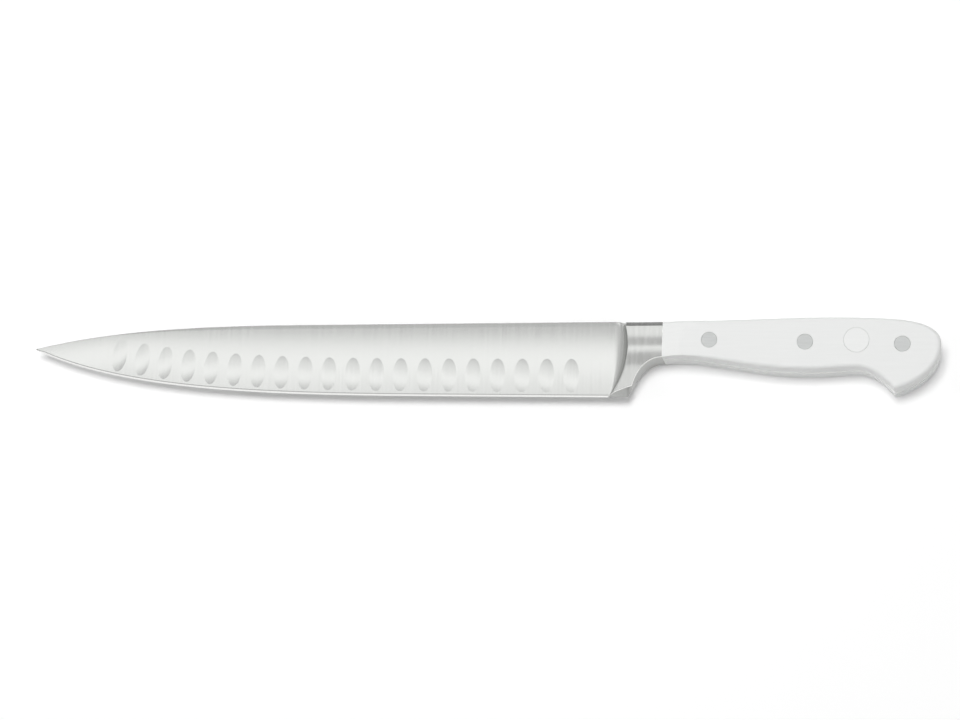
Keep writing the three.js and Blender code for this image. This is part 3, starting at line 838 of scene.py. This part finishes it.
def pin_profile():
    """Radius and height along a rivet's pin, whose head is in the left cheek."""
    return [
        (0, PIN_END), (PIN_RADIUS, PIN_END), (PIN_RADIUS, HEAD_SEAT), (HEAD_RADIUS, HEAD_SEAT),
        (HEAD_RADIUS, CHEEK - SMALL_EASE), (HEAD_RADIUS - SMALL_EASE, CHEEK), (0, CHEEK),
    ]


def sleeve_profile():
    """The same along its sleeve, whose head is in the right cheek."""
    bore = PIN_RADIUS + PRESS_GAP
    tube_end = HEAD_SEAT - PRESS_GAP
    return [
        (0, -CHEEK), (HEAD_RADIUS - SMALL_EASE, -CHEEK), (HEAD_RADIUS, SMALL_EASE - CHEEK),
        (HEAD_RADIUS, -HEAD_SEAT), (SLEEVE_RADIUS, -HEAD_SEAT), (SLEEVE_RADIUS, tube_end),
        (bore, tube_end), (bore, BORE_END), (0, BORE_END),
    ]


def inlay_profile():
    """The same along the inlay."""
    return [
        (0, INLAY_FLOOR), (INLAY_RADIUS, INLAY_FLOOR), (INLAY_RADIUS, CHEEK - SMALL_EASE),
        (INLAY_RADIUS - SMALL_EASE, CHEEK), (0, CHEEK),
    ]


# Materials

def linear(hex_colour):
    """An sRGB colour such as "#eeefed" to the linear values that Blender works in."""
    values = [int(hex_colour[i:i + 2], 16) / 255 for i in (1, 3, 5)]
    return [v / 12.92 if v <= 0.04045 else ((v + 0.055) / 1.055) ** 2.4 for v in values] + [1.0]


def new_material(name, **constants):
    """A material and its shader; constants are what holds all over the surface, by the shader's sockets."""
    material = bpy.data.materials.new(name)
    material.use_nodes = True
    shader = material.node_tree.nodes["Principled BSDF"]
    for socket, value in constants.items():
        shader.inputs[socket].default_value = value
    return material, shader


def add_node(owner, kind, settings=None, **inputs):
    """A node of a kind; settings are its properties, inputs its sockets: a value, or a socket to link.
    An input that is called _ and a number is the socket at that place."""
    node = owner.node_tree.nodes.new(kind)
    for key, value in (settings or {}).items():
        setattr(node, key, value)
    for key, value in inputs.items():
        socket = node.inputs[int(key[1:])] if key[1:].isdigit() else node.inputs[key]
        if isinstance(value, bpy.types.NodeSocket):
            owner.node_tree.links.new(value, socket)
        else:
            socket.default_value = value
    return node


def grain(owner, size, detail=2.0):
    """Noise whose patches are as long along x, y and z as size says, in millimetres. Real grinding and
    sanding marks are hundredths of a millimetre wide, too fine to show here, so each finish has them as
    coarse as they need to be."""
    position = add_node(owner, "ShaderNodeTexCoord").outputs["Object"]
    drawn = add_node(owner, "ShaderNodeMapping", Vector=position, Scale=[METRE / length for length in size])
    return add_node(
        owner, "ShaderNodeTexNoise", Vector=drawn.outputs["Vector"], Scale=1.0, Detail=detail).outputs["Fac"]


def finish(material, shader, pattern, colours, roughness, height):
    """A pattern's low parts get the first colour and roughness, its high parts the second; height is how
    far it stands up, in micrometres."""
    low, high = NOISE_RANGE
    spread = {"Value": pattern, "From Min": low, "From Max": high}
    share = add_node(material, "ShaderNodeMapRange", **spread)
    gloss = add_node(
        material, "ShaderNodeMapRange", **spread, **{"To Min": roughness[0], "To Max": roughness[1]})
    # The mix node has numbers and colours under the same names, so its sockets go by their places
    colour = add_node(
        material, "ShaderNodeMix", {"data_type": "RGBA"},
        _0=share.outputs["Result"], _6=linear(colours[0]), _7=linear(colours[1]))
    relief = add_node(
        material, "ShaderNodeBump", Height=pattern, Strength=1.0, Distance=height * MICROMETRE)
    link = material.node_tree.links.new
    link(colour.outputs[2], shader.inputs["Base Color"])
    link(gloss.outputs["Result"], shader.inputs["Roughness"])
    link(relief.outputs["Normal"], shader.inputs["Normal"])


def brush_upright(material, shader):
    """Marks from spine to edge: reflections are smeared along the knife and stay crisp across it."""
    along = add_node(
        material, "ShaderNodeVectorTransform", {"convert_from": "OBJECT", "convert_to": "WORLD"},
        Vector=(1, 0, 0))
    material.node_tree.links.new(along.outputs["Vector"], shader.inputs["Tangent"])
    shader.inputs["Anisotropic"].default_value = BRUSH_SMEAR


def satin_steel():
    """Stainless steel, ground and then glazed across the blade. The fine marks run from spine to edge, so
    lamps are drawn out into wide soft bands along the blade."""
    material, shader = new_material("satin_ground_blade_steel", Metallic=1.0)
    brush_upright(material, shader)
    marks = grain(material, size=(0.6, 25, 25))
    finish(material, shader, marks, colours=("#c9cac8", "#cdcecc"), roughness=(0.17, 0.2), height=0.5)
    return material


def belt_steel():
    """The same steel on the bolster's cheeks, ground with a coarser belt from back to finger guard. It
    leaves upright marks, and the lamps show softer than in the blade."""
    material, shader = new_material("belt_ground_bolster_steel", Metallic=1.0)
    brush_upright(material, shader)
    marks = grain(material, size=(1.2, 10, 10), detail=4.0)
    finish(material, shader, marks, colours=("#c2c3c1", "#cccdcb"), roughness=(0.2, 0.26), height=14.0)
    return material


def rough_shaded_steel():
    """The steel of the bolster's underside, left as a coarse wheel dressed it: marks across the thickness,
    duller than the faces, and a darker colour that is painted shade under the bolster."""
    material, shader = new_material("rough_underside_steel_painted_shade", Metallic=1.0)
    marks = grain(material, size=(0.8, 0.8, 12), detail=3.0)
    finish(material, shader, marks, colours=("#a6a7a5", "#b0b1af"), roughness=(0.3, 0.4), height=2.0)
    return material


def sharpened_highlight_steel():
    """The steel where a fine stone has bared it: the cutting edge, and the broken edge along foot and
    finger guard. Its marks run across the edge and it is rougher than the faces; its colour is also
    painted brighter than steel, a painted highlight that makes these edges show as bright lines."""
    material, shader = new_material("sharpened_steel_painted_highlight", Metallic=1.0)
    marks = grain(material, size=(0.5, 3, 3))
    finish(material, shader, marks, colours=("#eaeae8", "#f4f4f2"), roughness=(0.32, 0.4), height=1.0)
    return material


def white_acetal(name, colours):
    """Acetal plastic, milled, sanded along the handle and buffed. It is white through and through, with a
    soft sheen and the faintest of sanding marks along the grip."""
    material, shader = new_material(name, IOR=1.48)
    marks = grain(material, size=(14, 0.8, 0.8), detail=3.0)
    finish(material, shader, marks, colours, roughness=(0.36, 0.44), height=0.6)
    return material


def rivet_steel():
    """Stainless rivets, ground flush together with the cheeks, so their marks run along the handle too."""
    material, shader = new_material("ground_rivet_steel", Metallic=1.0)
    marks = grain(material, size=(5, 0.5, 0.5), detail=3.0)
    finish(material, shader, marks, colours=("#c9cbca", "#d1d3d2"), roughness=(0.3, 0.4), height=1.0)
    return material


# Pieces

STEEL = satin_steel()
# Sharpened steel, whose brighter colour is a painted highlight along the edges
KEEN_HIGHLIGHT = sharpened_highlight_steel()
BELT = belt_steel()
# Underside steel, whose darker colour is painted shade
ROUGH_SHADE = rough_shaded_steel()
ACETAL = white_acetal("polished_white_acetal", ("#eaebea", "#ecedec"))
INLAY = white_acetal("polished_white_acetal_inlay", ("#ecedec", "#eeefee"))
RIVET = rivet_steel()

# After the satin steel, the order is that of the sharpened edge with its painted highlight, the belt-ground
# cheeks, and the rough underside with its painted shade
forging_mesh().build("blade_forging", "blade_steel", STEEL, KEEN_HIGHLIGHT, BELT, ROUGH_SHADE)
scale_mesh(1).build("left_scale", "scale_plastic", ACETAL)
scale_mesh(-1).build("right_scale", "scale_plastic", ACETAL)
for name, centre in RIVETS.items():
    turned_mesh(centre, sleeve_profile()).build(name + "_rivet_sleeve", "rivet_steel", RIVET)
    turned_mesh(centre, pin_profile()).build(name + "_rivet_pin", "rivet_steel", RIVET)
turned_mesh(INLAY_CENTRE, inlay_profile()).build("inlay_disc", "inlay_plastic", INLAY)


# Floor, light and camera

def seen_directly(owner):
    """1 for rays from the camera, off metal or through glass, 0 for the rays that light matt surfaces."""
    rays = add_node(owner, "ShaderNodeLightPath").outputs
    larger = {"operation": "MAXIMUM"}
    first = add_node(owner, "ShaderNodeMath", larger, _0=rays["Is Camera Ray"], _1=rays["Is Glossy Ray"])
    both = add_node(owner, "ShaderNodeMath", larger, _0=first.outputs[0], _1=rays["Is Transmission Ray"])
    return both.outputs[0]


def floor_material():
    """White paper, matt, lifted up to white where it is seen, in the metal too."""
    material, shader = new_material(
        "white_paper_floor", Roughness=0.9,
        **{"Base Color": linear("#f4f4f4"), "Specular IOR Level": 0.0, "Emission Color": linear("#ffffff")})
    lift = add_node(
        material, "ShaderNodeMath", {"operation": "MULTIPLY"}, _0=seen_directly(material), _1=FLOOR_LIFT)
    material.node_tree.links.new(lift.outputs[0], shader.inputs["Emission Strength"])
    return material


def floor(half):
    corners = [(-half, -half, 0), (half, -half, 0), (half, half, 0), (-half, half, 0)]
    mesh = bpy.data.meshes.new("floor")
    mesh.from_pydata(corners, [], [range(len(corners))])
    mesh.materials.append(floor_material())
    new_object("floor", mesh)


def softbox(name, where, width, height, strength, skew=0, card=False):
    """A rectangular lamp turned to the knife; strength is its brightness, 1 being white, and skew turns it
    about the upright. A card only shows mirrored; any other lamp lights matt surfaces and isn't mirrored."""
    lamp = bpy.data.lights.new(name, "AREA")
    lamp.shape = "RECTANGLE"
    lamp.size = width
    lamp.size_y = height
    lamp.energy = strength * width * height * math.pi
    box = new_object(name, lamp)
    box.location = where
    turn = Matrix.Rotation(math.radians(skew), 3, "Z") @ Vector(where).to_track_quat("Z", "Y").to_matrix()
    box.rotation_euler = turn.to_euler()
    box.visible_glossy = card
    box.visible_diffuse = not card


def camera():
    """The photograph's camera, turned so that the knife lies level in the picture."""
    back = Vector((
        math.sin(VIEW_YAW),
        -math.cos(VIEW_YAW) * math.sin(VIEW_PITCH),
        math.cos(VIEW_YAW) * math.cos(VIEW_PITCH),
    ))
    up = back.cross(Vector((1, 0, 0))).normalized()
    right = up.cross(back)
    lens = bpy.data.cameras.new("camera")
    lens.lens = lens.sensor_width / 2 / math.tan(VIEW_WIDTH / 2)
    holder = new_object("camera", lens)
    turn = Matrix((right, up, back)).transposed().to_4x4()
    target = Vector(place(VIEW_TARGET))
    holder.matrix_world = Matrix.Translation(target + back * VIEW_DISTANCE / METRE) @ turn
    bpy.context.scene.camera = holder


def studio():
    """The room: plain in the light it gives; where it is seen, as in the metal, it is brightest overhead and
    darkest behind the spine."""
    world = bpy.data.worlds.new("studio")
    world.use_nodes = True
    background = world.node_tree.nodes["Background"]
    position = add_node(world, "ShaderNodeTexCoord").outputs["Generated"]
    direction = add_node(world, "ShaderNodeSeparateXYZ", Vector=position)
    eased = {"interpolation_type": "SMOOTHSTEP"}
    horizon = add_node(
        world, "ShaderNodeMapRange", eased, Value=direction.outputs["Y"],
        **{"From Min": BEHIND_TURN[0], "From Max": BEHIND_TURN[1]},
        **{"To Min": HORIZON_SEEN, "To Max": BEHIND_SEEN})
    seen = add_node(
        world, "ShaderNodeMapRange", eased, Value=direction.outputs["Z"],
        **{"From Min": OVERHEAD_TURN[0], "From Max": OVERHEAD_TURN[1]},
        **{"To Min": horizon.outputs["Result"], "To Max": OVERHEAD_SEEN})
    level = add_node(
        world, "ShaderNodeMapRange", Value=seen_directly(world),
        **{"To Min": ROOM_LIGHT, "To Max": seen.outputs["Result"]})
    background.inputs["Color"].default_value = linear("#ffffff")
    world.node_tree.links.new(level.outputs["Result"], background.inputs["Strength"])
    bpy.context.scene.world = world


floor(FLOOR_HALF)
softbox("key", **KEY)
softbox("fill", **FILL)
for name, (angle, skew, width, strength) in STRIPS.items():
    tilt = math.radians(angle)
    where = (0, STRIP_DISTANCE * math.cos(tilt), STRIP_DISTANCE * math.sin(tilt))
    softbox(name, where, STRIP_LENGTH, width, strength, skew, card=True)
camera()
studio()
bpy.context.scene.view_settings.view_transform = "Standard"
